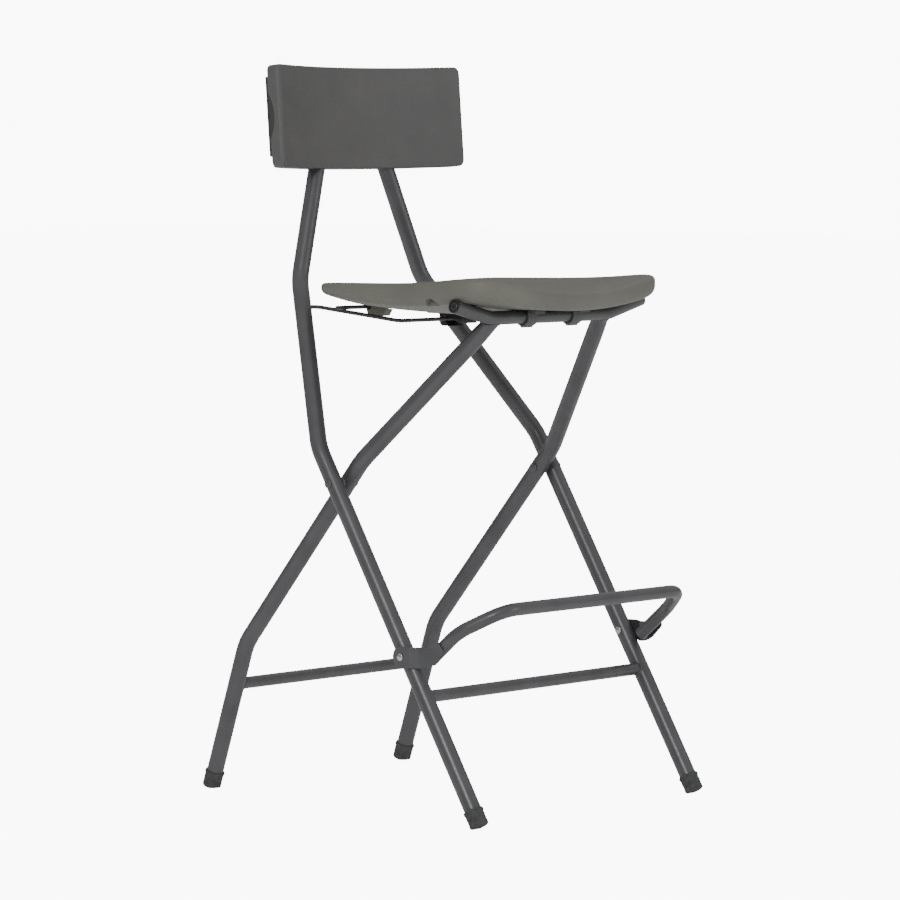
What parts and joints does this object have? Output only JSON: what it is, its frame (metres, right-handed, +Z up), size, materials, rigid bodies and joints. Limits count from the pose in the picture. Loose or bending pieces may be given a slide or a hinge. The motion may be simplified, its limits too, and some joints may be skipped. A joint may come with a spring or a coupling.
{
  "type": "folding bar stool",
  "caption": "Folding high stool with crossed steel tube frames, a moulded saddle seat, a curved backrest and a hinged U-shaped footrest.",
  "frame": {"origin": "on the floor under the middle of the open stool", "axes": "+Z up, -Y towards the front where the sitter faces, +X to the right seen from behind the seat"},
  "size_m": [0.5076, 0.5878, 1.0706],
  "materials": {
    "frame_paint": "charcoal grey hammered powder coat on steel tube",
    "seat_plastic": "warm grey blow-moulded plastic with a fine grain",
    "backrest_plastic": "grey blow-moulded plastic with a fine grain",
    "cover_plastic": "dark grey moulded plastic",
    "plug_plastic": "near black moulded plastic",
    "foot_rubber": "dark matt rubber",
    "rivet_zinc": "bright zinc plated steel",
    "wire_black": "black coated steel wire"
  },
  "bodies": {
    "back_frame": {"back_tube_left": "frame_paint", "back_tube_right": "frame_paint", "front_cross_bar": "frame_paint", "foot_cap_front_left": "foot_rubber", "foot_cap_front_right": "foot_rubber", "backrest_shell": "backrest_plastic", "backrest_cover": "cover_plastic", "cover_bolt_1": "rivet_zinc", "cover_bolt_2": "rivet_zinc", "cover_bolt_3": "rivet_zinc", "cover_bolt_4": "rivet_zinc", "frame_rivet_left": "rivet_zinc", "frame_rivet_right": "rivet_zinc", "pivot_spacer_left": "rivet_zinc", "pivot_spacer_right": "rivet_zinc", "footrest_rivet_left": "rivet_zinc", "footrest_rivet_right": "rivet_zinc"},
    "rear_frame": {"rear_tube_left": "frame_paint", "rear_tube_right": "frame_paint", "seat_bar": "frame_paint", "bar_plug_left": "plug_plastic", "bar_plug_right": "plug_plastic", "rear_cross_bar": "frame_paint", "foot_cap_rear_left": "foot_rubber", "foot_cap_rear_right": "foot_rubber"},
    "seat": {"seat_shell": "seat_plastic", "seat_clip_left": "plug_plastic", "seat_clip_right": "plug_plastic", "link_keeper": "plug_plastic", "stop_rod": "wire_black", "rod_lug_left": "seat_plastic", "rod_lug_right": "seat_plastic"},
    "wire_link": {"wire_link": "wire_black"},
    "footrest": {"footrest_bar": "frame_paint", "footrest_bracket_left": "frame_paint", "footrest_bracket_right": "frame_paint"}
  },
  "joints": [
    {"name": "frame_fold", "type": "hinge", "parent": "back_frame", "child": "rear_frame", "pos_m": [0, -0.00033, 0.46988], "axis": [-1, 0, 0], "range_deg": [0, 48]},
    {"name": "seat_flip", "type": "hinge", "parent": "rear_frame", "child": "seat", "pos_m": [0, -0.20134, 0.709], "axis": [1, 0, 0], "range_deg": [0, 119.04]},
    {"name": "link_swing", "type": "hinge", "parent": "back_frame", "child": "wire_link", "pos_m": [0, 0.14816, 0.7155], "axis": [-1, 0, 0], "range_deg": [0, 78.72]},
    {"name": "footrest_fold", "type": "hinge", "parent": "back_frame", "child": "footrest", "pos_m": [0, -0.14457, 0.2325], "axis": [-1, 0, 0], "range_deg": [0, 62]}
  ],
  "couplings": [
    {"joint": "seat_flip", "follows": "frame_fold", "ratio": 2.48},
    {"joint": "link_swing", "follows": "frame_fold", "ratio": 1.64}
  ]
}
